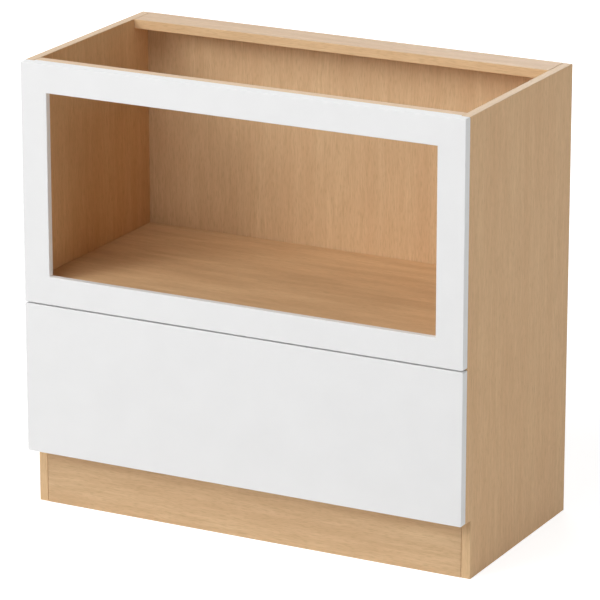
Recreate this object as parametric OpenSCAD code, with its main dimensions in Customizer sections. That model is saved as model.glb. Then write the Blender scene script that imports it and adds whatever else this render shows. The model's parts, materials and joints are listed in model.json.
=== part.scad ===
// Microwave base cabinet: a frameless carcass, open at the top, with a lacquered
// frame round the microwave compartment and one full-extension drawer below it.
// X runs across the front, +Y points to the wall and +Z up. The origin lies on the
// floor, in the middle of the footprint. All sizes are in millimetres.

/* [Carcass] */
// Width over the two side panels
cabinet_w = 914; // [600:1:1200]
// Height from the floor to the top edges
cabinet_h = 876; // [820:1:940]
// Depth of the carcass, without the fronts
carcass_d = 438; // [435:1:600]
// Thickness of the carcass boards
board_t = 18; // [16:0.5:19]
// Thickness of the back panel
back_t = 12; // [9:1:12]
// Rebate in each side panel that takes the back panel
back_rebate = 9; // [7:1:10]
// Depth of the flat rear top rail
rear_rail_d = 66; // [60:1:100]
// Thickness of the edge bands
band_t = 1; // [0.5:0.5:2]

/* [Toe kick] */
// Height of the toe kick
toe_h = 114; // [100:1:130]
// Setback of the toe kick behind the carcass front
toe_recess = 22; // [10:1:60]

/* [Fronts] */
// Thickness of the lacquered fronts
front_t = 19; // [18:0.5:22]
// Width of the border round the microwave opening
frame_border = 55; // [52:1:80]
// Height of the top edge of the drawer front
drawer_front_top = 408; // [400:1:415]
// Gap between the drawer front and the frame above it
front_gap = 3; // [2:0.5:4]
// Radius of the eased edges of the fronts
eased_r = 1.5; // [0.5:0.5:3]
// Depth of the opening's rim, in front of the rebate behind it
rim_t = 13.5; // [12:0.5:16]
// Thickness of the lacquered packer between the frame and the front rail
packer_t = 6; // [4:1:8]

/* [Microwave compartment] */
// Height of the deck's upper face
deck_z = 455; // [452:1:465]

/* [Drawer box] */
// Length of the drawer box and of its runners
drawer_l = 400; // [350:50:400]
// Height of the drawer box
box_h = 220; // [180:5:230]
// Thickness of the drawer box boards
box_t = 15; // [12:1:16]
// Thickness of the drawer bottom
box_bottom_t = 9; // [6:1:9]
// Number of dovetails at each corner
tail_count = 5; // [3:1:6]

/* [Runners] */
// Space that a runner takes between the side panel and the drawer box
runner_t = 12.7; // [12.7:0.1:13]
// Balls in each row
balls_per_row = 10; // [6:1:12]

/* [Hidden] */
$fn = 48;

wood = [0.80, 0.66, 0.52];
band = [0.85, 0.72, 0.59];
drawer_wood = [0.87, 0.77, 0.62];
lacquer = [0.93, 0.93, 0.93];
zinc = [0.74, 0.75, 0.77];
steel = [0.62, 0.63, 0.65];
beech = [0.86, 0.72, 0.50];
black = [0.12, 0.12, 0.13];

// Hairline between two edge bands
band_joint = 0.1;

// Bores are wider than what they take by one of these
snug = 0.05;
loose = 0.1;

// Width of the rebate round the back of the microwave opening
rim_rebate = 8;

// Planes of the cabinet
inner_w = cabinet_w - 2 * board_t;
front_y = -(carcass_d + front_t) / 2;
carcass_y = front_y + front_t;
back_y = carcass_y + carcass_d;
frame_z = drawer_front_top + front_gap;
back_z = toe_h;
back_h = cabinet_h - board_t - back_z;
front_rail_y = carcass_y + packer_t;
front_rail_h = frame_border;

// Cam fittings: a lock in the board's face draws a bolt that screws into the side panel
cam_setback = 34;
cam_r = 7.4;
cam_h = 12.4;
cam_pocket_r = 7.5;
cam_pocket_h = 13;
cam_hollow_r = 3.6;
cam_slot = 4.4;
cam_cross = [10, 1.6, 2];
bolt_bore_r = 4;
bolt_thread_r = 2.4;
bolt_thread_l = 11;
dowel_r = 3.95;
dowel_bore_r = 4;
dowel_in_side = 12;
dowel_in_board = 18;

// Which way a cam pocket opens, as a turn about X
DOWN = 0;
REAR = 90;
FORE = -90;

// Where bolts and dowels cross into the side panels: [y, z, turn]
deck_axis_z = deck_z - board_t / 2;
bottom_axis_z = toe_h + board_t / 2;
fitting_front = 50;
fitting_rear = 80;
fitting_y = [fitting_front, carcass_d - fitting_rear];
fitting_pitch = 32;
narrow_pitch = 24;
deck_bolts = [for (y = fitting_y) [carcass_y + y, deck_axis_z, DOWN]];
deck_dowels = [for (y = fitting_y) [carcass_y + y + fitting_pitch, deck_axis_z, DOWN]];
bottom_bolts = [for (y = fitting_y) [carcass_y + y, bottom_axis_z, DOWN]];
bottom_dowels = [for (y = fitting_y) [carcass_y + y + fitting_pitch, bottom_axis_z, DOWN]];
rear_rail_bolts = [[back_y - (rear_rail_d + fitting_pitch) / 2, cabinet_h - board_t / 2, DOWN]];
rear_rail_dowels = [[back_y - (rear_rail_d - fitting_pitch) / 2, cabinet_h - board_t / 2, DOWN]];
front_rail_z = cabinet_h - front_rail_h / 2;
front_rail_bolts = [[front_rail_y + board_t / 2, front_rail_z + narrow_pitch / 2, REAR]];
front_rail_dowels = [[front_rail_y + board_t / 2, front_rail_z - narrow_pitch / 2, REAR]];
toe_y = carcass_y + toe_recess + board_t / 2;
toe_bolts = [[toe_y, (toe_h + fitting_pitch) / 2, REAR]];
toe_dowels = [[toe_y, (toe_h - fitting_pitch) / 2, REAR]];
plinth_y = back_y - board_t / 2;
plinth_bolts = [[plinth_y, (toe_h + fitting_pitch) / 2, FORE]];
plinth_dowels = [[plinth_y, (toe_h - fitting_pitch) / 2, FORE]];
all_bolts = concat(deck_bolts, bottom_bolts, rear_rail_bolts, front_rail_bolts, toe_bolts,
                   plinth_bolts);
all_dowels = concat(deck_dowels, bottom_dowels, rear_rail_dowels, front_rail_dowels, toe_dowels,
                    plinth_dowels);

// Screws: a head is [radius, height]
frame_screw_r = 2;
frame_screw_head = [4, 2.4];
frame_screw_x = [-330, -110, 110, 330] * cabinet_w / 914;
frame_screw_z = front_rail_z;
frame_screw_bite = 12;
bracket_x = [-380, -130, 130, 380] * cabinet_w / 914;
bracket_leg = 22;
bracket_w = 18;
bracket_t = 2;
small_screw_r = 1.6;
small_screw_l = 12;
small_screw_head = [3, 1.8];
back_screw_inset = 30;
back_screw_x = [for (i = [-2:2]) i * (inner_w / 2 - back_screw_inset) / 2];
back_screw_z = [deck_axis_z, bottom_axis_z];
back_screw_r = 1.9;
back_screw_l = 38;
back_screw_head_r = 3.75;
drawer_screw_x = [-300, 0, 300] * cabinet_w / 914;

// Drawer box
box_lift = 16;
box_w = inner_w - 2 * runner_t;
box_z = toe_h + board_t + box_lift;
box_x = box_w / 2;
tail_pitch = box_h / tail_count;
tail_wide = 0.6 * tail_pitch;
tail_narrow = tail_wide - 2 * box_t / 7;
groove_z = 12;
groove_d = 7;
drawer_screw_low = 60;
drawer_screw_high = 40;
drawer_screw_z = [box_z + drawer_screw_low, box_z + box_h - drawer_screw_high];
drawer_screw_r = 2;
drawer_screw_bite = 13;
drawer_screw_head = [4.5, 2.4];

// Runner section: u runs from the side panel towards the drawer box and v runs up
sheet_t = 1.1;
race_r = 1.8;
race_back_r = race_r + sheet_t;
ball_r = 1.7;
race_step = 12;
outer_ball = [9.3, 19.8];
race_angle = 60;
race_end = 320;
inner_ball = outer_ball - 2 * (race_r + sheet_t / 2) * [cos(race_angle), sin(race_angle)];
middle_web_u = 2;
cage_t = 0.5;
outer_cage_u = 1.3;
inner_cage_u = 3.3;
runner_lift = 62;
runner_setback = 2;
runner_z = box_z + runner_lift;
runner_y = carcass_y + runner_setback;

// The travelling members are as long as the drawer's travel, and the cages cover a quarter of it
member_l = drawer_l - 16;
cage_lead = 9;
cage_y = runner_y + member_l / 4 + cage_lead;
cage_l = member_l / 2 - 22;
ball_inset = 5;
ball_pitch = (cage_l - 2 * ball_inset) / (balls_per_row - 1);
channel_screw_y = [37, drawer_l / 2 - 3, drawer_l - 43];
channel_screw_r = 2.2;
channel_screw_l = 13;
member_screw_y = [40, member_l - 124, member_l - 34];
member_screw_r = 2;
member_screw_l = 12;
member_screw_head = [3.6, 1.8];
access_r = 5;
bumper_l = 10;
bumper_h = 32;
bumper_t = 8;
bumper_wall = 3;

// Stops. At full extension the channel's stop holds the front of the outer cage, the middle
// member's rear stop holds the cage's rear, and its front stop holds the lever's catch.
stop_l = 1.5;
stop_h = 12;
stop_gap = 0.3;
web_gap = 0.2;
channel_stop_y = cage_y - member_l / 4 - stop_gap - stop_l;
middle_stop_y = cage_y + cage_l + member_l / 4 + stop_gap;
catch_y = runner_y + stop_l + member_l / 2 + stop_gap;

// Release lever: a bar inside the drawer member, with a catch below it towards the middle
// member, that tilts about a rivet
lever_l = 62;
lever_y = catch_y + lever_l / 2;
lever_h = 5;
lever_t = 2.4;
lever_u = 8.9;
catch_l = 6;
catch_h = 4;
catch_u = inner_cage_u + cage_t + 0.8;
pad_l = 13;
pad_drop = 2.5;
rivet_r = 2;
rivet_head_r = 3.2;

// ---------------------------------------------------------------- helpers
// Cutting solids run 1 mm or more past the faces that they cut

module mirrored_left() {
    mirror([1, 0, 0]) children();
}

module both_sides() {
    children();
    mirrored_left() children();
}

// A profile drawn in x and y lies in Y and Z, and runs along +X from x for l
module run_across(x, l) {
    translate([x, 0, 0]) rotate([90, 0, 90]) linear_extrude(l) children();
}

// Square with its two lower corners rounded
module eased_square(w, t, r) {
    difference() {
        square([w, t]);
        for (x = [0, w]) translate([x, 0]) difference() {
            square(2 * r, center = true);
            translate([x == 0 ? r : -r, r]) circle(r);
        }
    }
}

// A front: its four front edges are eased, and it faces -Y
module eased_front(z, h) {
    intersection() {
        translate([-cabinet_w / 2, front_y, z]) linear_extrude(h)
            eased_square(cabinet_w, front_t, eased_r);
        run_across(-cabinet_w / 2, cabinet_w)
            translate([front_y, z]) mirror([1, -1]) eased_square(h, front_t, eased_r);
    }
}

// Pan-head screw along +Z: the head's seat is at z = 0 and the shank points down
module pan_screw(r, l, head) {
    rotate_extrude() polygon([
        [0, -l], [0.5 * r, -l], [r, -l + 2 * r], [r, 0], [head[0], 0],
        [head[0], 0.45 * head[1]], [0.72 * head[0], head[1]], [0, head[1]]
    ]);
}

// Countersunk screw along +Z: its head lies flush at z = 0 and the shank points down
module flush_screw(r, l, head_r) {
    rotate_extrude() polygon([
        [0, -l], [0.5 * r, -l], [r, -l + 2 * r], [r, -(head_r - r)], [head_r, 0], [0, 0]
    ]);
}

// The hole for a countersunk screw, a little wider than the screw
module flush_bore(r, l, head_r) {
    translate([0, 0, -l]) cylinder(r = r, h = l);
    translate([0, 0, -(head_r - r)]) cylinder(r1 = r, r2 = head_r, h = head_r - r);
    cylinder(r = head_r, h = 1);
}

// ---------------------------------------------------------------- cam fittings

module at_station(s) {
    translate([inner_w / 2, s[0], s[1]]) rotate([s[2], 0, 0]) children();
}

module along_x() {
    rotate([0, 90, 0]) children();
}

// Holes in the end of a board for its cams, bolts and dowels
module board_bores(bolts, dowels) {
    both_sides() {
        for (s = bolts) at_station(s) {
            translate([-cam_setback, 0, -board_t / 2 - 1]) cylinder(r = cam_pocket_r, h = cam_pocket_h + 1);
            translate([-cam_setback, 0, 0]) along_x() cylinder(r = bolt_bore_r, h = cam_setback + 1);
        }
        for (s = dowels) at_station(s)
            translate([-dowel_in_board - 0.5, 0, 0]) along_x()
                cylinder(r = dowel_bore_r, h = dowel_in_board + 2);
    }
}

// Holes in the inner face of a side panel
module side_bores() {
    for (s = all_bolts) at_station(s)
        translate([-1, 0, 0]) along_x() cylinder(r = bolt_thread_r + loose, h = bolt_thread_l + 1.5);
    for (s = all_dowels) at_station(s)
        translate([-1, 0, 0]) along_x() cylinder(r = dowel_bore_r, h = dowel_in_side + 1.5);
}

// A cam lock, hollow for the bolt's head, with a slot for its neck and a cross in its face
module cam_lock() {
    bottom = -board_t / 2 + loose;
    translate([-cam_setback, 0, 0]) difference() {
        translate([0, 0, bottom]) cylinder(r = cam_r, h = cam_h);
        translate([0, 0, -cam_hollow_r]) cylinder(r = cam_hollow_r, h = 2 * cam_hollow_r);
        translate([0, -cam_slot / 2, -cam_slot / 2]) cube([cam_r + 1, cam_slot, cam_slot]);
        for (a = [0, 90]) rotate([0, 0, a]) translate([0, 0, bottom])
            cube([cam_cross[0], cam_cross[1], 2 * cam_cross[2]], center = true);
    }
}

// A cam bolt: head, neck, shank and the thread that bites into the side panel
module cam_bolt() {
    head_x = -cam_setback;
    along_x() rotate_extrude() polygon([
        [0, head_x - 1.3], [3.2, head_x - 1.3], [3.2, head_x + 1.2], [1.9, head_x + 2.2],
        [1.9, head_x + 8.6], [3.5, head_x + 9.6], [3.5, -0.3], [bolt_thread_r, -0.3],
        [bolt_thread_r, bolt_thread_l - 1], [1.4, bolt_thread_l], [0, bolt_thread_l]
    ]);
}

module dowel() {
    along_x() rotate_extrude() polygon([
        [0, -dowel_in_board], [dowel_r - 1, -dowel_in_board], [dowel_r, 1 - dowel_in_board],
        [dowel_r, dowel_in_side - 1], [dowel_r - 1, dowel_in_side], [0, dowel_in_side]
    ]);
}

module cam_locks() color(zinc) both_sides() for (s = all_bolts) at_station(s) cam_lock();
module cam_bolts() color(steel) both_sides() for (s = all_bolts) at_station(s) cam_bolt();
module dowels() color(beech) both_sides() for (s = all_dowels) at_station(s) dowel();

// ---------------------------------------------------------------- carcass

// Right-hand side panel, notched for the toe kick and rebated for the back
module side_panel() {
    front = carcass_y + band_t;
    top = cabinet_h - band_t;
    color(wood) difference() {
        run_across(inner_w / 2, board_t) polygon([
            [front + toe_recess, 0], [back_y, 0], [back_y, top],
            [front, top], [front, toe_h], [front + toe_recess, toe_h]
        ]);
        translate([inner_w / 2 - 1, back_y - back_t, back_z]) cube([back_rebate + 1, back_t + 1, back_h]);
        side_bores();
        for (y = channel_screw_y) at_runner(0) translate([-1, runner_y + y, 0]) along_x()
            cylinder(r = channel_screw_r + snug, h = channel_screw_l + 2);
    }
}

// Bands on the edges of a side panel: its top, its front and its toe-kick notch
module side_bands() {
    run_across(inner_w / 2, board_t) {
        translate([carcass_y, cabinet_h - band_t]) square([carcass_d, band_t]);
        translate([carcass_y, toe_h]) square([band_t, cabinet_h - toe_h - band_t - band_joint]);
        translate([carcass_y + toe_recess, 0]) square([band_t, toe_h]);
    }
}

// A band along an edge of a board between the side panels
module cross_band(y, z, d, h) {
    translate([band_joint - inner_w / 2, y, z]) cube([inner_w - 2 * band_joint, d, h]);
}

module edge_bands() {
    color(band) {
        both_sides() side_bands();
        cross_band(carcass_y, toe_h, band_t, board_t);
        cross_band(carcass_y, deck_z - board_t, band_t, board_t);
        cross_band(back_y - rear_rail_d, cabinet_h - board_t, band_t, board_t);
        cross_band(front_rail_y, cabinet_h - band_t, board_t, band_t);
    }
}

// A horizontal board between the side panels, butted against the back panel
module shelf_board(top_z, bolts, dowels) {
    color(wood) difference() {
        translate([-inner_w / 2, carcass_y + band_t, top_z - board_t])
            cube([inner_w, carcass_d - back_t - band_t, board_t]);
        board_bores(bolts, dowels);
        back_screw_bores();
    }
}

module bottom_panel() shelf_board(toe_h + board_t, bottom_bolts, bottom_dowels);

module deck_panel() {
    difference() {
        shelf_board(deck_z, deck_bolts, deck_dowels);
        at_brackets() translate([0, bracket_leg / 2, 0]) rotate([180, 0, 0])
            translate([0, 0, -small_screw_l]) cylinder(r = small_screw_r + snug, h = small_screw_l + 1);
    }
}

module back_panel() {
    play = 0.5;
    color(wood) difference() {
        translate([-inner_w / 2 - back_rebate + play, back_y - back_t, back_z])
            cube([inner_w + 2 * (back_rebate - play), back_t, back_h]);
        back_screw_bores();
    }
}

module at_back_screws() {
    for (x = back_screw_x, z = back_screw_z) translate([x, back_y, z]) rotate([-90, 0, 0]) children();
}

module back_screw_bores() {
    at_back_screws() flush_bore(back_screw_r + snug, back_screw_l + 1, back_screw_head_r + loose);
}

module back_screws() {
    color(zinc) at_back_screws() flush_screw(back_screw_r, back_screw_l, back_screw_head_r);
}

module rear_top_rail() {
    color(wood) difference() {
        translate([-inner_w / 2, back_y - rear_rail_d + band_t, cabinet_h - board_t])
            cube([inner_w, rear_rail_d - band_t, board_t]);
        board_bores(rear_rail_bolts, rear_rail_dowels);
    }
}

// A board on edge between the side panels
module upright_board(y, z, h, bolts, dowels) {
    difference() {
        translate([-inner_w / 2, y, z]) cube([inner_w, board_t, h]);
        board_bores(bolts, dowels);
    }
}

module front_top_rail() {
    color(wood) difference() {
        upright_board(front_rail_y, cabinet_h - front_rail_h, front_rail_h - band_t,
                      front_rail_bolts, front_rail_dowels);
        frame_screw_bores();
    }
}

// Lacquered strip between the side panels that packs the rail off the frame
module rail_packer() {
    color(lacquer) difference() {
        translate([-inner_w / 2, carcass_y, cabinet_h - front_rail_h])
            cube([inner_w, packer_t, front_rail_h]);
        frame_screw_bores();
    }
}

module toe_kick_board() {
    color(wood) upright_board(carcass_y + toe_recess, 0, toe_h, toe_bolts, toe_dowels);
}

module rear_plinth_rail() {
    color(wood) upright_board(back_y - board_t, 0, toe_h, plinth_bolts, plinth_dowels);
}

// ---------------------------------------------------------------- microwave frame

module at_frame_screws() {
    for (x = frame_screw_x) translate([x, front_rail_y + board_t, frame_screw_z])
        rotate([-90, 0, 0]) children();
}

module frame_screw_bores() {
    at_frame_screws() translate([0, 0, -board_t - packer_t - frame_screw_bite - 0.5])
        cylinder(r = frame_screw_r + snug, h = board_t + packer_t + frame_screw_bite + 1);
}

module frame_screws() {
    color(zinc) at_frame_screws()
        pan_screw(frame_screw_r, board_t + packer_t + frame_screw_bite, frame_screw_head);
}

// The frame: a rebate behind its opening takes the trim round an oven
module microwave_frame() {
    opening_w = cabinet_w - 2 * frame_border;
    opening_h = cabinet_h - frame_z - 2 * frame_border;
    color(lacquer) difference() {
        eased_front(frame_z, cabinet_h - frame_z);
        translate([-opening_w / 2, front_y - 1, frame_z + frame_border])
            cube([opening_w, front_t + 2, opening_h]);
        translate([-opening_w / 2 - rim_rebate, front_y + rim_t, frame_z + frame_border - rim_rebate])
            cube([opening_w + 2 * rim_rebate, front_t, opening_h + 2 * rim_rebate]);
        frame_screw_bores();
        at_brackets() translate([0, 0, -bracket_leg / 2]) rotate([90, 0, 0])
            translate([0, 0, -1]) cylinder(r = small_screw_r + snug, h = small_screw_l + 1);
    }
}

// Corner where the deck's underside meets the back of the frame
module at_brackets() {
    for (x = bracket_x) translate([x, carcass_y, deck_z - board_t]) children();
}

module frame_brackets() {
    color(zinc) at_brackets() difference() {
        translate([-bracket_w / 2, 0, 0]) rotate([90, 0, 90]) linear_extrude(bracket_w) polygon([
            [0, 0], [0, -bracket_leg], [bracket_t, -bracket_leg], [bracket_t, -bracket_t],
            [bracket_leg, -bracket_t], [bracket_leg, 0]
        ]);
        translate([0, -1, -bracket_leg / 2]) rotate([-90, 0, 0])
            cylinder(r = small_screw_r + loose, h = bracket_t + 2);
        translate([0, bracket_leg / 2, -bracket_t - 1])
            cylinder(r = small_screw_r + loose, h = bracket_t + 2);
    }
}

module bracket_screws() {
    color(zinc) at_brackets() {
        translate([0, bracket_t, -bracket_leg / 2]) rotate([-90, 0, 0])
            pan_screw(small_screw_r, small_screw_l, small_screw_head);
        translate([0, bracket_leg / 2, -bracket_t]) rotate([180, 0, 0])
            pan_screw(small_screw_r, small_screw_l, small_screw_head);
    }
}

// ---------------------------------------------------------------- drawer box

// The side's outline in Y and Z: a row of tails at each end, wide at the tip
function tail_points(i) = let (z = (i + 0.5) * tail_pitch) [
    [box_t, z - tail_narrow / 2], [0, z - tail_wide / 2],
    [0, z + tail_wide / 2], [box_t, z + tail_narrow / 2]
];
function front_tails() = [for (i = [0:tail_count - 1]) each tail_points(i)];
function rear_tails() = let (p = front_tails(), n = len(p))
    [for (i = [1:n]) [drawer_l - p[n - i][0], p[n - i][1]]];

module dovetailed_side() {
    run_across(box_x - box_t, box_t) translate([carcass_y, box_z]) polygon(concat(
        [[box_t, 0]], front_tails(), [[box_t, box_h], [drawer_l - box_t, box_h]],
        rear_tails(), [[drawer_l - box_t, 0]]
    ));
}

// The groove that holds the drawer bottom, as the space that the bottom takes with play
module bottom_groove(play) {
    w = box_w - 2 * (box_t - groove_d) - 2 * play;
    l = drawer_l - 2 * (box_t - groove_d) - 2 * play;
    translate([-w / 2, carcass_y + box_t - groove_d + play, box_z + groove_z])
        cube([w, l, box_bottom_t]);
}

module drawer_side() {
    color(drawer_wood) difference() {
        dovetailed_side();
        bottom_groove(0);
        at_member_screws() translate([0, 0, -member_screw_l - 0.5])
            cylinder(r = member_screw_r + snug, h = member_screw_l + 1);
        at_lever_pivot(runner_t) translate([-1, 0, 0]) along_x()
            cylinder(r = rivet_head_r + loose, h = 2);
    }
}

// Front or back of the box, cut by the tails of the sides
module pinned_board(y) {
    difference() {
        translate([-box_x, y, box_z]) cube([box_w, box_t, box_h]);
        both_sides() dovetailed_side();
        bottom_groove(0);
    }
}

module drawer_inner_front() {
    color(drawer_wood) difference() {
        pinned_board(carcass_y);
        drawer_screw_bores();
    }
}

module drawer_back() {
    color(drawer_wood) pinned_board(carcass_y + drawer_l - box_t);
}

module drawer_bottom() {
    color(drawer_wood) bottom_groove(0.4);
}

module at_drawer_screws() {
    for (x = drawer_screw_x, z = drawer_screw_z)
        translate([x, carcass_y + box_t, z]) rotate([-90, 0, 0]) children();
}

module drawer_screw_bores() {
    at_drawer_screws() translate([0, 0, -box_t - drawer_screw_bite - 0.5])
        cylinder(r = drawer_screw_r + snug, h = box_t + drawer_screw_bite + 1);
}

module drawer_front_screws() {
    color(zinc) at_drawer_screws()
        pan_screw(drawer_screw_r, box_t + drawer_screw_bite, drawer_screw_head);
}

module drawer_front() {
    color(lacquer) difference() {
        eased_front(toe_h, drawer_front_top - toe_h);
        drawer_screw_bores();
    }
}

// ---------------------------------------------------------------- ball-bearing runners

// Points along an arc round c, from angle a to angle b
function arc(c, r, a, b) = let (n = ceil(abs(b - a) / race_step))
    [for (i = [0:n]) c + r * [cos(a + (b - a) * i / n), sin(a + (b - a) * i / n)]];
function flipped(p) = [for (i = [1:len(p)]) [p[len(p) - i][0], -p[len(p) - i][1]]];

// A rolled section is symmetrical about v = 0, so only its upper half is written out
module rolled_section(upper) polygon(concat(upper, flipped(upper)));

// Puts a section's u = 0 on the side panel and turns u towards the drawer
module at_runner(u) {
    translate([inner_w / 2 - u, 0, runner_z]) children();
}

module runner_profile(y, l) {
    at_runner(0) translate([0, y, 0]) rotate([90, 0, 180]) linear_extrude(l) children();
}

// Outer channel: its lips curl down over the outer balls
channel_section = concat(
    [[0, outer_ball[1] + race_back_r]], arc(outer_ball, race_back_r, 90, 0),
    arc(outer_ball, race_r, 0, 90), [[sheet_t, outer_ball[1] + race_r]]
);

// Middle member: its flange crests over the inner balls and dips under the outer ones
middle_section = concat(
    [[middle_web_u, inner_ball[1] + race_back_r]], arc(inner_ball, race_back_r, 90, race_angle),
    arc(outer_ball, race_r, 180 + race_angle, race_end),
    arc(outer_ball, race_back_r, race_end, 180 + race_angle),
    arc(inner_ball, race_r, race_angle, 90), [[middle_web_u + sheet_t, inner_ball[1] + race_r]]
);

// Drawer member: its flanges curl up round the inner balls
drawer_member_section = concat(
    [[runner_t, inner_ball[1] - race_r]], arc(inner_ball, race_r, 270, 200),
    arc(inner_ball, race_back_r, 200, 270), [[runner_t - sheet_t, inner_ball[1] - race_back_r]]
);

module at_channel_screws() {
    for (y = channel_screw_y) at_runner(sheet_t) translate([0, runner_y + y, 0])
        rotate([0, -90, 0]) children();
}

// A tab lanced out of a web, from u over a height towards the drawer
module stop_tab(y, u, height, v, h) {
    at_runner(u + height) translate([0, y, v]) cube([height, stop_l, h]);
}

module runner_channel() {
    color(zinc) difference() {
        union() {
            runner_profile(runner_y, drawer_l) rolled_section(channel_section);
            stop_tab(channel_stop_y, sheet_t / 2, middle_web_u - web_gap - sheet_t / 2,
                     -stop_h / 2, stop_h);
        }
        at_channel_screws()
            flush_bore(channel_screw_r + snug, sheet_t + 1, channel_screw_r + sheet_t + loose);
    }
}

module runner_channel_screws() {
    color(zinc) both_sides() at_channel_screws()
        flush_screw(channel_screw_r, channel_screw_l + sheet_t, channel_screw_r + sheet_t);
}

module middle_member() {
    access = [for (y = channel_screw_y) if (y < member_l - 30) y];
    front_tab_u = middle_web_u + sheet_t / 2;
    color(zinc) difference() {
        union() {
            runner_profile(runner_y, member_l) rolled_section(middle_section);
            stop_tab(middle_stop_y, sheet_t + web_gap, middle_web_u - sheet_t / 2, -stop_h / 2, stop_h);
            stop_tab(runner_y, front_tab_u, lever_u - stop_gap - front_tab_u, 0, stop_h / 2);
        }
        for (y = access) at_runner(middle_web_u - 1) translate([0, runner_y + y, 0])
            rotate([0, -90, 0]) cylinder(r = access_r, h = sheet_t + 2);
    }
}

module drawer_member() {
    color(zinc) difference() {
        runner_profile(runner_y, member_l) rolled_section(drawer_member_section);
        at_member_screws() translate([0, 0, -2]) cylinder(r = member_screw_r + 0.2, h = 4);
        at_lever_pivot(runner_t) translate([-1, 0, 0]) along_x() cylinder(r = rivet_r + snug, h = 4);
    }
}

module at_member_screws() {
    for (y = member_screw_y) at_runner(runner_t - sheet_t) translate([0, runner_y + y, 0])
        rotate([0, 90, 0]) children();
}

module drawer_member_screws() {
    color(zinc) both_sides() at_member_screws()
        pan_screw(member_screw_r, member_screw_l, member_screw_head);
}

// A cage is a thin channel whose flanges lie in the plane of the ball centres
module ball_cage(web_u, tip_u, ball) {
    half_h = ball[1] + cage_t / 2;
    color(steel) difference() {
        runner_profile(cage_y, cage_l) difference() {
            translate([web_u, -half_h]) square([tip_u - web_u, 2 * half_h]);
            translate([web_u + cage_t, -half_h + cage_t]) square([tip_u, 2 * (half_h - cage_t)]);
        }
        at_balls(ball) translate([0, 0, -1]) cylinder(r = ball_r + loose, h = 2);
    }
}

module at_balls(ball) {
    for (v = [-1, 1] * ball[1], i = [0:balls_per_row - 1])
        at_runner(ball[0]) translate([0, cage_y + ball_inset + i * ball_pitch, v]) children();
}

module balls(ball) {
    color(steel) at_balls(ball) sphere(ball_r);
}

module outer_cage() ball_cage(outer_cage_u, outer_ball[0] + 1.2, outer_ball);
module inner_cage() ball_cage(inner_cage_u, inner_ball[0] + 2.6, inner_ball);

// Plastic stop at the rear end of the outer channel
module runner_bumper() {
    color(black) runner_profile(runner_y + drawer_l - bumper_l - 2, bumper_l) difference() {
        translate([sheet_t, -bumper_h / 2]) square([bumper_t, bumper_h]);
        translate([sheet_t + bumper_wall, bumper_wall - bumper_h / 2])
            square([bumper_t, bumper_h - 2 * bumper_wall]);
    }
}

// ---------------------------------------------------------------- release levers

module at_lever_pivot(u) {
    at_runner(u) translate([0, lever_y, 0]) children();
}

// The lever's outline in Y and Z, from its pivot: a bar with a round end and a drooping pad
module lever_outline() {
    circle(lever_h / 2 + 1);
    polygon([
        [0, -lever_h / 2], [0, lever_h / 2], [3 - lever_l, lever_h / 2], [-lever_l, lever_h / 2 - 3],
        [-lever_l, -lever_h / 2 - pad_drop], [3 - lever_l, -lever_h / 2 - pad_drop],
        [pad_l - lever_l, -lever_h / 2]
    ]);
}

module release_lever() {
    color(black) difference() {
        union() {
            at_lever_pivot(lever_u + lever_t) run_across(0, lever_t) lever_outline();
            translate([0, catch_y, 0]) at_runner(lever_u + lever_t)
                translate([0, 0, -1]) cube([lever_u + lever_t - catch_u, catch_l, catch_h]);
        }
        at_lever_pivot(lever_u + lever_t) translate([-1, 0, 0]) along_x()
            cylinder(r = rivet_r + snug, h = lever_t + 2);
    }
}

// Rivet through the drawer member's web that the lever turns on
module lever_rivet() {
    at_lever_pivot(runner_t) along_x() rotate_extrude() polygon([
        [0, -0.6], [rivet_head_r, -0.6], [rivet_head_r, 0], [rivet_r, 0], [rivet_r, 4],
        [rivet_head_r, 4], [0.6 * rivet_head_r, 5], [0, 5]
    ]);
}

module lever_rivets() color(steel) both_sides() lever_rivet();

// ---------------------------------------------------------------- nodes

mirrored_left() side_panel();  // left_side_panel
side_panel();  // right_side_panel
bottom_panel();
deck_panel();
back_panel();
rear_top_rail();
front_top_rail();
rail_packer();
toe_kick_board();
rear_plinth_rail();
microwave_frame();
frame_screws();
frame_brackets();
bracket_screws();
edge_bands();
cam_locks();
cam_bolts();
dowels();
back_screws();
mirrored_left() runner_channel();  // left_runner_channel
runner_channel();  // right_runner_channel
mirrored_left() runner_bumper();  // left_runner_bumper
runner_bumper();  // right_runner_bumper
runner_channel_screws();
mirrored_left() middle_member();  // left_middle_member
middle_member();  // right_middle_member
mirrored_left() outer_cage();  // left_outer_cage
outer_cage();  // right_outer_cage
mirrored_left() balls(outer_ball);  // left_outer_balls
balls(outer_ball);  // right_outer_balls
mirrored_left() inner_cage();  // left_inner_cage
inner_cage();  // right_inner_cage
mirrored_left() balls(inner_ball);  // left_inner_balls
balls(inner_ball);  // right_inner_balls
drawer_front();
mirrored_left() drawer_side();  // drawer_left_side
drawer_side();  // drawer_right_side
drawer_inner_front();
drawer_back();
drawer_bottom();
drawer_front_screws();
mirrored_left() drawer_member();  // left_drawer_member
drawer_member();  // right_drawer_member
drawer_member_screws();
mirrored_left() release_lever();  // left_release_lever
release_lever();  // right_release_lever
lever_rivets();
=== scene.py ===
import json
from math import pi, radians

import bmesh
import bpy
from mathutils import Matrix, Vector

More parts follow.
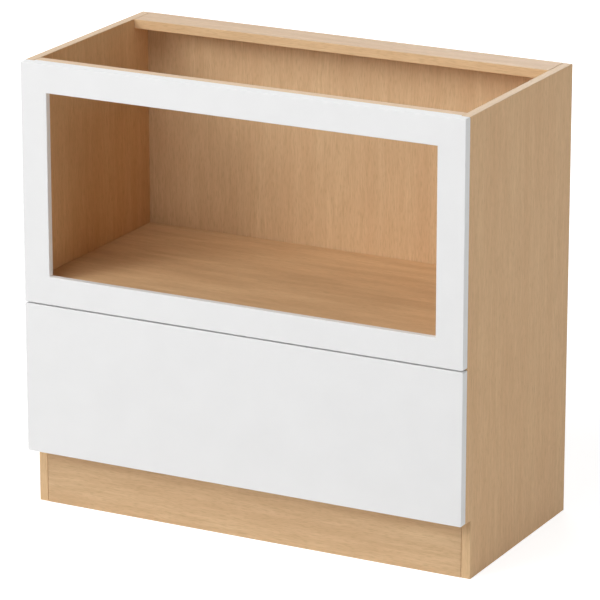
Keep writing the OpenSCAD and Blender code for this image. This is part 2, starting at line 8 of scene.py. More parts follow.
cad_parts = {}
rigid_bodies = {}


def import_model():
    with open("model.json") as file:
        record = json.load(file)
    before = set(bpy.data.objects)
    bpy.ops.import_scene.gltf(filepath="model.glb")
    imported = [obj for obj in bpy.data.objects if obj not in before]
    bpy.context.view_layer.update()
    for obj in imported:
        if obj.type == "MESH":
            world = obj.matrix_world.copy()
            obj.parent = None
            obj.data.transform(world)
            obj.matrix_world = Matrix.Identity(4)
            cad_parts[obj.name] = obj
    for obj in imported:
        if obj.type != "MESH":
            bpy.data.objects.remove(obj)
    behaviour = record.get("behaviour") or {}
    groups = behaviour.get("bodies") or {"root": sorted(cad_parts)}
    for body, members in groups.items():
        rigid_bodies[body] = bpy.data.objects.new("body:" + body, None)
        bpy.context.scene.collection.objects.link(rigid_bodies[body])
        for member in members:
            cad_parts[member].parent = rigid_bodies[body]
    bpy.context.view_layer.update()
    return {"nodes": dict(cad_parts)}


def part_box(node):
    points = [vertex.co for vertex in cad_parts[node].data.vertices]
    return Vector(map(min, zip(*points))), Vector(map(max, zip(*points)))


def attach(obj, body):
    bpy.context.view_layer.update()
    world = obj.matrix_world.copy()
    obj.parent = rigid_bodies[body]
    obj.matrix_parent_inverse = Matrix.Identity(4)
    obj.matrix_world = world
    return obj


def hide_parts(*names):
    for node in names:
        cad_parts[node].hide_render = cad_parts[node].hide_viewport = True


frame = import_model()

MM = 0.001
X, Y, Z = Vector((1, 0, 0)), Vector((0, 1, 0)), Vector((0, 0, 1))
WHITE = (1, 1, 1, 1)


# ---------------------------------------------------------------- camera

# A long lens from far off, to the right of the front and looking down a little
CAMERA_PLACE = (3.427, -6.5085, 2.696)
CAMERA_TURN = radians(27.71)
CAMERA_TILT = radians(17.22)
CAMERA_LENS = 245.5
CAMERA_REACH = 100


def make_camera():
    """The camera at the photograph's viewing angle."""
    data = bpy.data.cameras.new("camera")
    data.lens = CAMERA_LENS
    data.clip_end = CAMERA_REACH
    camera = bpy.data.objects.new("camera", data)
    camera.location = CAMERA_PLACE
    camera.rotation_euler = (pi / 2 - CAMERA_TILT, 0, CAMERA_TURN)
    bpy.context.scene.collection.objects.link(camera)
    bpy.context.scene.camera = camera


# ---------------------------------------------------------------- shader helpers

NOISE_MIDDLE = (0.5, 0.5, 0.5)


def linear(hex_colour):
    """An sRGB hex colour as linear red, green, blue and alpha, by the standard's own curve."""
    channels = [int(hex_colour[i:i + 2], 16) / 255 for i in (1, 3, 5)]
    return [c / 12.92 if c <= 0.04045 else ((c + 0.055) / 1.055) ** 2.4 for c in channels] + [1]


def add(tree, kind, inputs, **settings):
    """Adds a shader node, makes its settings, and fills its inputs with values or other nodes."""
    node = tree.nodes.new("ShaderNode" + kind)
    for name, value in settings.items():
        setattr(node, name, value)
    for key, value in inputs.items():
        socket = node.inputs[key] if isinstance(key, int) else next(
            s for s in node.inputs if s.name == key and s.enabled)
        if isinstance(value, bpy.types.Node):
            value = next(s for s in value.outputs if s.enabled)
        if isinstance(value, bpy.types.NodeSocket):
            tree.links.new(value, socket)
        else:
            socket.default_value = value
    return node


def blank_material(name):
    """A material with nothing in it, and its node tree."""
    material = bpy.data.materials.new(name)
    material.use_nodes = True
    material.node_tree.nodes.clear()
    return material, material.node_tree


def finish_material(tree, colour, relief=None, depth=0.0, strength=1.0, **surface):
    """Closes a material: its colour, its relief of a depth in millimetres, its surface values."""
    inputs = {"Base Color": colour}
    inputs |= {key.replace("_", " "): value for key, value in surface.items()}
    if relief:
        inputs["Normal"] = add(tree, "Bump", {
            "Height": relief, "Strength": strength, "Distance": depth * MM,
        })
    add(tree, "OutputMaterial", {"Surface": add(tree, "BsdfPrincipled", inputs)})


def object_place(tree, drift=0.0, over=100.0):
    """Object coordinates, drifting sideways by so many millimetres over a given length."""
    place = add(tree, "TexCoord", {}).outputs["Object"]
    if not drift:
        return place
    wave = add(tree, "TexNoise", {"Vector": place, "Scale": 1 / (over * MM), "Detail": 1.0})
    centred = add(tree, "VectorMath", {0: wave.outputs["Color"], 1: NOISE_MIDDLE},
                  operation="SUBTRACT")
    shift = add(tree, "VectorMath", {0: centred, "Scale": 2 * drift * MM}, operation="SCALE")
    return add(tree, "VectorMath", {0: place, 1: shift})


def streaks(tree, place, grain, width, length, low=0.3, high=0.7, detail=1.0):
    """A mask of streaks along the grain, of a width and a length in millimetres.

    It is 0 where its noise is low and 1 where it is high.
    """
    sizes = [length if axis == grain else width for axis in "XYZ"]
    stretched = add(tree, "Mapping", {
        "Vector": place, "Scale": [1 / (size * MM) for size in sizes],
    })
    noise = add(tree, "TexNoise", {"Vector": stretched, "Scale": 1.0, "Detail": detail})
    return add(tree, "MapRange", {"Value": noise, "From Min": low, "From Max": high})


def patches(tree, place, size, low=0.3, high=0.7, detail=2.0):
    """A mask of cloudy patches of a size in millimetres."""
    return streaks(tree, place, "Z", size, size, low, high, detail)


def layers(tree, ground, *coats):
    """A ground colour with other colours over it, each as far as its mask and its share say."""
    colour = linear(ground)
    for mask, share, coat in coats:
        cover = add(tree, "Math", {0: mask, 1: share}, operation="MULTIPLY")
        colour = add(tree, "Mix", {"Factor": cover, "A": colour, "B": linear(coat)},
                     data_type="RGBA")
    return colour


# ---------------------------------------------------------------- materials

def oak_decor(name, grain, tones, figured, figure_width=8):
    """Melamine decor paper printed as rift-cut oak: a fine grain that drifts, and some figure."""
    material, tree = blank_material(name)
    place = object_place(tree, drift=5, over=110)
    bands = streaks(tree, place, grain, width=30, length=500)
    clouds = streaks(tree, place, grain, width=24, length=80)
    figure = streaks(tree, place, grain, width=figure_width, length=150)
    fine = streaks(tree, place, grain, width=2.6, length=75, low=0.35)
    # A real pore is 0.3 mm wide, too fine to show, so it is drawn about four times as wide
    pores = streaks(tree, place, grain, width=1.3, length=14, low=0.5, high=0.75, detail=0)
    pale, warm, deep, dark = tones
    colour = layers(tree, pale, (bands, 1, warm), (clouds, 0.25, deep), (figure, figured, deep),
                    (fine, 0.5, deep), (pores, 0.22, dark))
    # Decor paper is pressed under a satin plate, so its pores are hardly felt
    finish_material(tree, colour, relief=pores, depth=0.05, strength=0.1,
                    Roughness=0.42, Specular_IOR_Level=0.15)
    return material


# From the palest ground to the dark of the pores
BOARD_TONES = ("#e6c397", "#dfb88d", "#d0a97f", "#9f7b52")
# One decor, but the side panels are a touch warmer and the back and the toe kick cooler: painted
# light, standing in for the difference in how light falls on these boards
SIDE_TONES_PAINTED_WARM_LIGHT = ("#ebc595", "#e4ba8b", "#d5ab7d", "#a37c51")
BACK_TONES_PAINTED_COOL_LIGHT = ("#e3c49b", "#dcb991", "#cdaa83", "#9d7c55")
BAND_TONES = ("#e9c89d", "#e3bf94", "#d6b187", "#b08d62")
# How much of the broader figure a board shows
PLAIN, FIGURED = 0.4, 0.7

# The tones of the side panels, the back and the toe kick carry painted light: warmer on the sides,
# cooler on the back and toe kick
oak_side = oak_decor("oak_decor_side_panels", "Z", SIDE_TONES_PAINTED_WARM_LIGHT, PLAIN)
oak_back = oak_decor("oak_decor_back", "Z", BACK_TONES_PAINTED_COOL_LIGHT, PLAIN)
oak_toe = oak_decor("oak_decor_toe_kick", "X", BACK_TONES_PAINTED_COOL_LIGHT, FIGURED)
oak_level = oak_decor("oak_decor_level_grain", "X", BOARD_TONES, FIGURED)
oak_deck = oak_decor("oak_decor_broad_figure", "X", BOARD_TONES, 1, figure_width=22)
# The bands are the same print, a little paler, and their grain follows the edge
band_upright = oak_decor("oak_band_upright", "Z", BAND_TONES, PLAIN)
band_level = oak_decor("oak_band_level", "X", BAND_TONES, PLAIN)
band_deep = oak_decor("oak_band_front_to_back", "Y", BAND_TONES, PLAIN)


def raw_particleboard():
    """Sawn particleboard where no band covers it: pressed chips, coarse and dull."""
    material, tree = blank_material("raw_particleboard")
    place = object_place(tree)
    # Chips are 1 to 3 mm long
    chips = add(tree, "TexVoronoi", {"Vector": place, "Scale": 1 / (2.2 * MM)})
    shade = add(tree, "SeparateColor", {"Color": chips.outputs["Color"]})
    dust = patches(tree, place, size=9, low=0.4, high=0.8)
    colour = layers(tree, "#b08a5e", (shade, 1, "#d8bd92"), (dust, 1, "#c3a074"))
    finish_material(tree, colour, relief=shade, depth=0.2, strength=0.3, Roughness=0.9)
    return material


chipboard = raw_particleboard()


def satin_lacquer():
    """White two-pack lacquer sprayed on fibreboard: smooth, satin, a trace of orange peel."""
    material, tree = blank_material("white_satin_lacquer")
    place = object_place(tree)
    colour = layers(tree, "#f0f0f0", (patches(tree, place, size=70), 1, "#eeeeee"))
    # The ripple of sprayed lacquer is 2 to 4 mm across
    peel = patches(tree, place, size=3, detail=1.0)
    finish_material(tree, colour, relief=peel, depth=0.02, strength=0.1,
                    Roughness=0.45, Specular_IOR_Level=0.3)
    return material


lacquer = satin_lacquer()


def planed_birch(name, grain):
    """Planed birch under clear lacquer: pale and even, with faint long streaks."""
    material, tree = blank_material(name)
    place = object_place(tree, drift=5, over=120)
    # Birch has flecks of about 1 by 7 mm
    flecks = streaks(tree, place, grain, width=1.2, length=7, low=0.7, high=0.8, detail=0)
    fine = streaks(tree, place, grain, width=3, length=90, low=0.4, high=0.8)
    bands = streaks(tree, place, grain, width=22, length=300)
    colour = layers(tree, "#ecd9ba", (bands, 1, "#e1caa5"), (fine, 1, "#d5ba91"),
                    (flecks, 0.4, "#c2a379"))
    finish_material(tree, colour, relief=fine, depth=0.05, strength=0.2, Roughness=0.4)
    return material


birch_deep = planed_birch("birch_front_to_back", "Y")
birch_cross = planed_birch("birch_side_to_side", "X")

# Growth rings are 2 to 3 mm apart. They are drawn about six times as coarse: at this scale
# the wave repeats every 15.7 mm
RING_SCALE = 20.0
# End-grain pores are 0.1 mm across. So that they show, they are drawn about 0.3 mm across
# and 0.9 mm apart: full as far as PORE_MIDDLE of that from their centres, gone by PORE_RIM
PORE_SPACING = 0.9 * MM
PORE_MIDDLE, PORE_RIM = 0.1, 0.25


def birch_end_grain():
    """Birch cut across the grain, as the dovetails show it: darker, banded, with open pores."""
    material, tree = blank_material("birch_end_grain")
    place = object_place(tree, drift=3, over=50)
    rings = add(tree, "TexWave", {
        "Vector": place, "Scale": RING_SCALE, "Distortion": 2.0, "Detail": 1.0,
    }, bands_direction="Z")
    cells = add(tree, "TexVoronoi", {"Vector": place, "Scale": 1 / PORE_SPACING})
    pores = add(tree, "MapRange", {
        "Value": cells.outputs["Distance"], "From Min": PORE_RIM, "From Max": PORE_MIDDLE,
    })
    colour = layers(tree, "#c9a97c", (rings.outputs["Fac"], 1, "#bb9868"), (pores, 1, "#a58356"))
    finish_material(tree, colour, relief=pores, depth=-0.05, strength=0.2, Roughness=0.6)
    return material


birch_end = birch_end_grain()


def turned_beech():
    """Turned beech with the fine dark flecks that beech has."""
    material, tree = blank_material("turned_beech")
    flecks = streaks(tree, object_place(tree), "X", width=0.6, length=3, low=0.55, high=0.75)
    colour = layers(tree, "#d8b585", (flecks, 1, "#b98f5f"))
    finish_material(tree, colour, relief=flecks, depth=-0.03, strength=0.3, Roughness=0.55)
    return material


beech = turned_beech()


def bare_metal(name, pale, deep, polish, mask_of):
    """A metal whose tone and polish vary together, over the mask that mask_of draws."""
    material, tree = blank_material(name)
    mask = mask_of(tree, object_place(tree))
    low, high = polish
    polished = add(tree, "MapRange", {"Value": mask, "To Min": low, "To Max": high})
    finish_material(tree, layers(tree, pale, (mask, 1, deep)), Metallic=1.0, Roughness=polished)
    return material


# Bright zinc plating clouds a little in soft patches
zinc_plate = bare_metal("bright_zinc_plated_steel", "#dcdee1", "#c6c9cd", (0.24, 0.38),
                        lambda tree, place: patches(tree, place, size=3))
# Rolled strip keeps lines along its length, 0.1 mm apart and drawn as 0.5 mm so that they show
rolled_strip = bare_metal(
    "zinc_plated_rolled_strip", "#d6d8db", "#bdc0c5", (0.2, 0.34),
    lambda tree, place: streaks(tree, place, "Y", width=0.5, length=60, detail=2))
# Die-cast zinc is dull and slightly grainy from the die
die_cast = bare_metal("die_cast_zinc", "#b9bbbd", "#a3a5a8", (0.38, 0.55),
                      lambda tree, place: patches(tree, place, size=1.5))
# Bearing balls are ground bright, and the rivets are given the same finish
bearing_steel = bare_metal("ground_bearing_steel", "#dfe0e2", "#d2d3d6", (0.08, 0.14),
                           lambda tree, place: patches(tree, place, size=5))


def moulded_acetal():
    """Black acetal from a spark-eroded mould: a low sheen with a fine even grain."""
    material, tree = blank_material("moulded_black_acetal")
    place = object_place(tree)
    # Spark erosion leaves a grain of 0.1 mm, drawn as 0.5 mm so that it shows
    grain = patches(tree, place, size=0.5, detail=1.0)
    colour = layers(tree, "#1b1c1e", (patches(tree, place, size=12), 1, "#26272a"))
    finish_material(tree, colour, relief=grain, depth=0.02, strength=0.4, Roughness=0.42)
    return material


acetal = moulded_acetal()


# ---------------------------------------------------------------- modelling helpers

# Points this close together are one point, and an edge this close to a level lies on it
MERGE = 1e-6
# Faces that turn less than this from each other are one flat face
FLAT = radians(0.5)
# An edge whose faces turn more than this is still sharp
SQUARE = radians(60)
# The least share of a direction along an axis at which it points that way
POINTS_THAT_WAY = 0.9


def body_of(node):
    """The name of the body that a CAD node rides on."""
    return frame["nodes"][node].parent.name.split(":")[1]


def merged(node):
    """A copy of a CAD node's mesh, with its triangles joined into whole flat faces."""
    bm = bmesh.new()
    bm.from_mesh(frame["nodes"][node].data)
    bmesh.ops.remove_doubles(bm, verts=bm.verts, dist=MERGE)
    bmesh.ops.dissolve_limit(bm, angle_limit=FLAT, verts=bm.verts, edges=bm.edges)
    return bm


def ease(bm, edges, width, segments=2):
    """Rounds the given edges."""
    bmesh.ops.bevel(bm, geom=edges, offset=width, offset_type="OFFSET", affect="EDGES",
                    segments=segments, profile=0.5, material=-1, clamp_overlap=True)


def finish_piece(name, bm, materials, node, round_below=None):
    """Makes the bmesh an object that stands for a CAD node and rides on its body."""
    mesh = bpy.data.meshes.new(name)
    bm.normal_update()
    bm.to_mesh(mesh)
    bm.free()
    if round_below:
        mesh.shade_smooth()
        mesh.set_sharp_from_angle(angle=round_below)
    for material in materials:
        mesh.materials.append(material)
    piece = bpy.data.objects.new(name, mesh)
    bpy.context.scene.collection.objects.link(piece)
    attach(piece, body_of(node))
    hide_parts(node)


def islands(bm):
    """The separate solids in a bmesh, each as a list of its vertices.

    They come in the order of the mesh, so that every run turns the same screw the same way.
    """
    reached = set()
    found = []
    for start in bm.verts:
        if start in reached:
            continue
        reached.add(start)
        group = [start]
        # The list grows while it is walked
        for vert in group:
            for edge in vert.link_edges:
                other = edge.other_vert(vert)
                if other not in reached:
                    reached.add(other)
                    group.append(other)
        found.append(group)
    return found


def corners(verts):
    """Lowest and highest corner round some vertices."""
    low = Vector(min(v.co[i] for v in verts) for i in range(3))
    high = Vector(max(v.co[i] for v in verts) for i in range(3))
    return low, high


def on_level(edge, i, level):
    """Whether both ends of an edge lie at a level on axis i."""
    return all(abs(v.co[i] - level) < MERGE for v in edge.verts)


# ---------------------------------------------------------------- boards

# Where a board butts against another its arrises are broken, and a hairline shows
JOINT_GAP = 0.3 * MM
JOINT_EASE = 0.9 * MM
ENDS = ((X, -1), (X, 1))
ENDS_AND_REAR = ENDS + ((Y, 1),)
# A face this much across the board is one of its two faces, or a broken arris beside one
ACROSS_BOARD = 0.6
# A band less tall than this lies flat on its board
FLAT_BAND = 2 * MM
BAND_EASE = 0.8 * MM


def open_joints(bm, joints):
    """Draws a board's butted edges in by a hairline and breaks their outer arrises."""
    low, high = corners(bm.verts)
    for axis, way in joints:
        reach = max(v.co.dot(axis) * way for v in bm.verts)
        butted = {v for v in bm.verts if reach - v.co.dot(axis) * way < MERGE}
        levels = [(i, side[i]) for i in range(3) if not axis[i] for side in (low, high)]
        rim = [e for e in bm.edges if butted.issuperset(e.verts)
               and any(on_level(e, i, level) for i, level in levels)]
        for vert in butted:
            vert.co -= way * JOINT_GAP * axis
        ease(bm, rim, JOINT_EASE, segments=1)


def faced_board(node, thickness, decor, joints=()):
    """A board with decor on its two faces and raw particleboard on its edges and in its bores."""
    bm = merged(node)
    open_joints(bm, joints)
    outsides = [corner.dot(thickness) for corner in corners(bm.verts)]
    for face in bm.faces:
        across = abs(face.normal.dot(thickness)) > ACROSS_BOARD
        depth = face.calc_center_median().dot(thickness)
        outside = min(abs(depth - level) for level in outsides) < JOINT_EASE
        face.material_index = 0 if across and outside else 1
    finish_piece(node + "_faced", bm, [decor, chipboard], node)


def make_boards():
    """The carcass boards, each with the edges that butt against its neighbours."""
    for node in ("left_side_panel", "right_side_panel"):
        faced_board(node, X, oak_side)
    faced_board("back_panel", Y, oak_back, ENDS)
    faced_board("toe_kick_board", Y, oak_toe, ENDS)
    faced_board("deck_panel", Z, oak_deck, ENDS_AND_REAR)
    faced_board("bottom_panel", Z, oak_level, ENDS_AND_REAR)
    faced_board("rear_top_rail", Z, oak_level, ENDS)
    for node in ("front_top_rail", "rear_plinth_rail"):
        faced_board(node, Y, oak_level, ENDS)


def make_edge_bands():
    """The bands, each with its grain along it and its two outer edges scraped round."""
    bm = merged("edge_bands")
    outer = set()
    for verts in islands(bm):
        low, high = corners(verts)
        size = high - low
        longest = max(range(3), key=lambda i: size[i])
        i, level = (2, high.z) if size.z < FLAT_BAND else (1, low.y)
        for vert in verts:
            for face in vert.link_faces:
                face.material_index = longest
            outer.update(e for e in vert.link_edges if on_level(e, i, level))
    ease(bm, [e for e in bm.edges if e in outer], BAND_EASE)
    grains = [band_level, band_deep, band_upright]
    finish_piece("edge_bands_scraped", bm, grains, "edge_bands")


# ---------------------------------------------------------------- lacquered fronts

CORNER = 2.4 * MM
ARRIS = 1.4 * MM
# The lip round the opening, and the step behind it
RIM_DEPTH = 13.5 * MM
REBATE_WIDTH = 8 * MM


def block(low, high):
    """A box between two corners."""
    bm = bmesh.new()
    bmesh.ops.create_cube(bm, size=1)
    bmesh.ops.scale(bm, vec=high - low, verts=bm.verts)
    bmesh.ops.translate(bm, vec=(low + high) / 2, verts=bm.verts)
    return bm


def ease_front(bm):
    """Rounds the four corners of a front, then all the outer edges that are still sharp."""
    low, high = corners(bm.verts)
    ends = [e for e in bm.edges
            if abs((e.verts[0].co - e.verts[1].co).normalized().y) > POINTS_THAT_WAY
            and (on_level(e, 0, low.x) or on_level(e, 0, high.x))]
    ease(bm, ends, CORNER, segments=4)
    sharp = [e for e in bm.edges if e.is_convex and e.calc_face_angle(0) > SQUARE]
    ease(bm, sharp, ARRIS, segments=3)


def make_microwave_frame():
    """The frame: its opening is inset on both faces, with a rebate behind, then lined and eased."""
    low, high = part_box("microwave_frame")
    border = high.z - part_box("front_top_rail")[0].z
    bm = block(low, high)
    front = [f for f in bm.faces if f.normal.y < -POINTS_THAT_WAY]
    back = [f for f in bm.faces if f.normal.y > POINTS_THAT_WAY]
    bmesh.ops.inset_individual(bm, faces=front, thickness=border, use_even_offset=True)
    bmesh.ops.inset_individual(bm, faces=back, thickness=border - REBATE_WIDTH,
                               use_even_offset=True)
    sunk = bmesh.ops.extrude_discrete_faces(bm, faces=back)["faces"]
    bmesh.ops.translate(bm, vec=(low.y + RIM_DEPTH - high.y) * Y, verts=sunk[0].verts)
    bmesh.ops.inset_individual(bm, faces=sunk, thickness=REBATE_WIDTH, use_even_offset=True)
    rims = [e for f in front + sunk for e in f.edges]
    bmesh.ops.delete(bm, geom=front + sunk, context="FACES_ONLY")
    bmesh.ops.bridge_loops(bm, edges=rims)
    bmesh.ops.recalc_face_normals(bm, faces=bm.faces)
    ease_front(bm)
    finish_piece("microwave_frame_lacquered", bm, [lacquer], "microwave_frame")


def make_slab(node):
    """A plain lacquered slab with its edges eased."""
    bm = block(*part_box(node))
    ease_front(bm)
    finish_piece(node + "_lacquered", bm, [lacquer], node)


# ---------------------------------------------------------------- drawer box

DRAWER_BOARDS = {
    "drawer_left_side": (Y, birch_deep),
    "drawer_right_side": (Y, birch_deep),
    "drawer_inner_front": (X, birch_cross),
    "drawer_back": (X, birch_cross),
}
# A face this much along the grain shows end grain
ALONG_GRAIN = 0.7
# Only a top edge longer than a dovetail is eased
TOP_EDGE_LENGTH = 100 * MM
TOP_EDGE_EASE = 1.2 * MM


def make_drawer_boards():
    """Dovetailed boards: long grain along each board and end grain on the tails and pins."""
    for node, (grain, long_grain) in DRAWER_BOARDS.items():
        bm = merged(node)
        top = max(v.co.z for v in bm.verts)
        for face in bm.faces:
            face.material_index = 1 if abs(face.normal.dot(grain)) > ALONG_GRAIN else 0
        rim = [e for e in bm.edges
               if on_level(e, 2, top) and e.calc_length() > TOP_EDGE_LENGTH]
        ease(bm, rim, TOP_EDGE_EASE)
        finish_piece(node + "_planed", bm, [long_grain, birch_end], node)


# ---------------------------------------------------------------- screws

SCREW_SIDES = 24
# A raised head from its seat to its crown, in shares of its radius and of its rise
DOME = ((1, 0), (1, 0.35), (0.93, 0.7), (0.72, 1))
# The point's radius at its end and the length of its taper, in shares of the shank's radius
POINT_END, POINT_TAPER = 0.4, 2
# The cross recess: half its span and half an arm's width, in shares of the radius of the
# head's top, and how much of its outline is left at its foot
CROSS_SPAN, CROSS_WIDTH, CROSS_FOOT = 0.5, 0.13, 0.45
# Its depth, in shares of a raised head's rise or of a countersunk head's radius
RAISED_DEPTH, SUNK_DEPTH = 0.75, 0.4
# How far each screw's cross is turned on from the one before it
TWIST = radians(37)
# Vertices with at least this share of the largest radius are on the rim of the head
WIDEST = 0.99
# A screw's faces that turn less than this look round
ROUND_BELOW = radians(32)


def turn_up(bm, profile):
    """A turned shape about Z through rings of radius and height, closed at the first.

    It gives the edges of the last ring, which is open.
    """
    (radius, height), *rest = profile
    ring = bmesh.ops.create_circle(bm, cap_ends=True, radius=radius, segments=SCREW_SIDES)["verts"]
    bmesh.ops.translate(bm, vec=height * Z, verts=ring)
    rim = list(dict.fromkeys(e for v in ring for e in v.link_edges))
    for wider, higher in rest:
        made = bmesh.ops.extrude_edge_only(bm, edges=rim)["geom"]
        ring = [g for g in made if isinstance(g, bmesh.types.BMVert)]
        rim = [g for g in made
               if isinstance(g, bmesh.types.BMEdge) and set(g.verts) <= set(ring)]
        bmesh.ops.scale(bm, vec=(wider / radius, wider / radius, 1), verts=ring)
        bmesh.ops.translate(bm, vec=(higher - height) * Z, verts=ring)
        radius, height = wider, higher
    return rim


def sink_cross(bm, rim, radius, height, depth):
    """Closes a head with a cross recess."""
    long, wide = CROSS_SPAN * radius, CROSS_WIDTH * radius
    arm = ((long, -wide), (long, wide), (wide, wide))
    corner_places = [Matrix.Rotation(quarter * pi / 2, 3, "Z") @ Vector((x, y, height))
                     for quarter in range(4) for x, y in arm]
    cross = bm.faces.new([bm.verts.new(place) for place in corner_places])
    outline = list(cross.edges)
    foot = bmesh.ops.extrude_discrete_faces(bm, faces=[cross])["faces"][0]
    bmesh.ops.scale(bm, vec=(CROSS_FOOT, CROSS_FOOT, 1), verts=foot.verts)
    bmesh.ops.translate(bm, vec=-depth * Z, verts=foot.verts)
    bmesh.ops.triangle_fill(bm, edges=rim + outline, use_beauty=True)


def cross_screw(bm, shank, length, head, rise):
    """A screw along +Z with its head's seat at 0: countersunk where the head doesn't rise."""
    point = [(POINT_END * shank, -length), (shank, POINT_TAPER * shank - length)]
    if rise > MERGE:
        top = [(shank, 0)] + [(across * head, up * rise) for across, up in DOME]
        depth = RAISED_DEPTH * rise
    else:
        top = [(shank, shank - head), (head, 0)]
        depth = SUNK_DEPTH * head
    rim = turn_up(bm, point + top)
    crown, height = top[-1]
    sink_cross(bm, rim, crown, height, depth)


def measure_screw(verts):
    """A plain screw's seat, its axis towards the head, then its shank, length, head and rise."""
    low, high = corners(verts)
    run = max(range(3), key=lambda i: high[i] - low[i])
    axis = (X, Y, Z)[run]
    middle = (low + high) / 2
    reach = {v: ((v.co - middle) - (v.co - middle).dot(axis) * axis).length for v in verts}
    head = max(reach.values())
    widest = [v for v in verts if reach[v] > WIDEST * head]
    if sum(v.co.dot(axis) for v in widest) / len(widest) < middle.dot(axis):
        axis = -axis
    along = {v: v.co.dot(axis) for v in verts}
    level = min(along[v] for v in widest)
    shank = max(reach[v] for v in verts if along[v] < middle.dot(axis))
    seat = middle + (level - middle.dot(axis)) * axis
    return seat, axis, shank, level - min(along.values()), head, max(along.values()) - level


def make_screws(node):
    """Cross-head screws in the places and sizes of the CAD node's plain ones."""
    source = merged(node)
    bm = bmesh.new()
    for count, verts in enumerate(islands(source)):
        seat, axis, *sizes = measure_screw(verts)
        one = bmesh.new()
        cross_screw(one, *sizes)
        bmesh.ops.recalc_face_normals(one, faces=one.faces)
        upright = Z.rotation_difference(axis).to_matrix().to_4x4()
        turned = upright @ Matrix.Rotation(count * TWIST, 4, "Z")
        bmesh.ops.transform(one, matrix=Matrix.Translation(seat) @ turned, verts=one.verts)
        mesh = bpy.data.meshes.new("screw")
        one.to_mesh(mesh)
        one.free()
        bm.from_mesh(mesh)
        bpy.data.meshes.remove(mesh)
    source.free()
    finish_piece(node + "_cross_head", bm, [zinc_plate], node,
                 round_below=ROUND_BELOW)


# ---------------------------------------------------------------- hardware

CAD_FINISHES = {
    zinc_plate: ("frame_brackets", "cam_bolts"),
    rolled_strip: ("left_runner_channel", "right_runner_channel", "left_middle_member",
                   "right_middle_member", "left_drawer_member", "right_drawer_member",
                   "left_outer_cage", "right_outer_cage", "left_inner_cage", "right_inner_cage"),
    bearing_steel: ("left_outer_balls", "right_outer_balls", "left_inner_balls",
                    "right_inner_balls", "lever_rivets"),
    die_cast: ("cam_locks",),
    acetal: ("left_runner_bumper", "right_runner_bumper", "left_release_lever",
             "right_release_lever"),
    beech: ("dowels",),
    birch_cross: ("drawer_bottom",),
}


def finish_cad_nodes():
    """Gives each CAD node that keeps its own shape its finish."""
    for material, nodes in CAD_FINISHES.items():
        for node in nodes:
            mesh = frame["nodes"][node].data
            mesh.materials.clear()
            mesh.materials.append(material)


# ---------------------------------------------------------------- studio

FLOOR_HALF = 40
FLOOR_TONE = "#dcdcdc"
# How much of the floor's white is its own to the eye, and how much shows the light and the
# shadow on it
FLOOR_GLOW = 0.85
FLOOR_SHOWS = 0.45
# Between these distances from the cabinet's middle the floor turns fully white, because the
# lamps don't reach far
SHADOW_REACH, WHITE_BEYOND = 1.2, 3.0
WORLD_LIGHT = 0.03
AIM = Vector((0, 0, 0.45))
# Each lamp's place, the side of its square, and its power in watts. All of them face AIM
LAMPS = {
    "key_left": ((-7.2, -11.2, 7.2), 6.4, 1145),
    "top_front": ((-0.9, -3.9, 6.4), 3.3, 178),
    "fill_low": ((0.6, -8.2, 1.0), 2.6, 58),
    "fill_right": ((6.4, -0.5, 1.0), 2.0, 124),
    "back_left": ((-3.0, 5.2, 4.9), 3.0, 146),
    "fill_rear": ((-1.6, 7.5, 0.8), 3.0, 115),
    "fill_under": ((0, 0, -2.5), 0.4, 24),
}


def seen_directly(tree):
    """1 for rays from the camera, in gloss and through glass, 0 for the rays that light things."""
    path = add(tree, "LightPath", {})
    camera_or_gloss = add(tree, "Math", {
        0: path.outputs["Is Camera Ray"], 1: path.outputs["Is Glossy Ray"],
    }, operation="MAXIMUM")
    return add(tree, "Math", {0: camera_or_gloss, 1: path.outputs["Is Transmission Ray"]},
               operation="MAXIMUM")


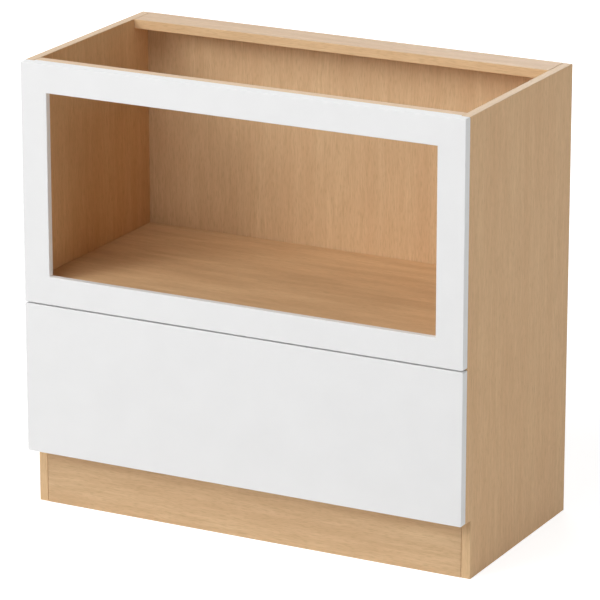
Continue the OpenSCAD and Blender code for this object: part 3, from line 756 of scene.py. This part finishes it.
def pale_floor():
    """Matt and pale, white to the eye but for a soft shadow, and clear from underneath.

    It is clear to shadow rays too, so a lamp below it can light the underside.
    """
    material, tree = blank_material("pale_floor")
    seen = seen_directly(tree)
    tone = add(tree, "Mix", {
        "Factor": seen, "A": linear(FLOOR_TONE), "B": (FLOOR_SHOWS, FLOOR_SHOWS, FLOOR_SHOWS, 1),
    }, data_type="RGBA")
    matt = add(tree, "BsdfDiffuse", {"Color": tone})
    away = add(tree, "VectorMath", {0: object_place(tree)}, operation="LENGTH").outputs["Value"]
    white = add(tree, "MapRange", {
        "Value": away, "From Min": SHADOW_REACH, "From Max": WHITE_BEYOND, "To Min": FLOOR_GLOW,
    })
    strength = add(tree, "Math", {0: seen, 1: white}, operation="MULTIPLY")
    glow = add(tree, "Emission", {"Color": WHITE, "Strength": strength})
    pale = add(tree, "AddShader", {0: matt, 1: glow})
    clear = add(tree, "BsdfTransparent", {})
    unseen = add(tree, "Math", {
        0: add(tree, "NewGeometry", {}).outputs["Backfacing"],
        1: add(tree, "LightPath", {}).outputs["Is Shadow Ray"],
    }, operation="MAXIMUM")
    add(tree, "OutputMaterial", {"Surface": add(tree, "MixShader", {0: unseen, 1: pale, 2: clear})})
    return material


def make_floor():
    """The floor that the cabinet stands on, which is no part of it."""
    bm = bmesh.new()
    bmesh.ops.create_grid(bm, x_segments=1, y_segments=1, size=FLOOR_HALF)
    mesh = bpy.data.meshes.new("floor")
    bm.to_mesh(mesh)
    bm.free()
    mesh.materials.append(pale_floor())
    floor = bpy.data.objects.new("floor", mesh)
    bpy.context.scene.collection.objects.link(floor)


def make_world():
    """An even white surround: full white to the eye, and soft fill light on the object."""
    world = bpy.data.worlds.new("studio")
    bpy.context.scene.world = world
    world.use_nodes = True
    tree = world.node_tree
    tree.nodes.clear()
    strength = add(tree, "MapRange", {
        "Value": seen_directly(tree), "To Min": WORLD_LIGHT, "To Max": 1.0,
    })
    back = add(tree, "Background", {"Color": WHITE, "Strength": strength})
    add(tree, "OutputWorld", {"Surface": back})


def make_lamp(name, place, size, power):
    """A square soft lamp that faces the middle of the cabinet."""
    data = bpy.data.lights.new(name, "AREA")
    data.shape = "SQUARE"
    data.size = size
    data.energy = power
    lamp = bpy.data.objects.new(name, data)
    lamp.location = place
    lamp.rotation_euler = (AIM - lamp.location).to_track_quat("-Z", "Y").to_euler()
    bpy.context.scene.collection.objects.link(lamp)


def make_studio():
    """The floor, the surround and the lamps."""
    make_floor()
    make_world()
    for name, (place, size, power) in LAMPS.items():
        make_lamp(name, place, size, power)
    bpy.context.scene.view_settings.view_transform = "Standard"


# ---------------------------------------------------------------- the cabinet

make_camera()
make_boards()
make_edge_bands()
make_microwave_frame()
make_slab("drawer_front")
make_slab("rail_packer")
make_drawer_boards()
for screws in ("frame_screws", "bracket_screws", "back_screws", "runner_channel_screws",
               "drawer_front_screws", "drawer_member_screws"):
    make_screws(screws)
finish_cad_nodes()
make_studio()
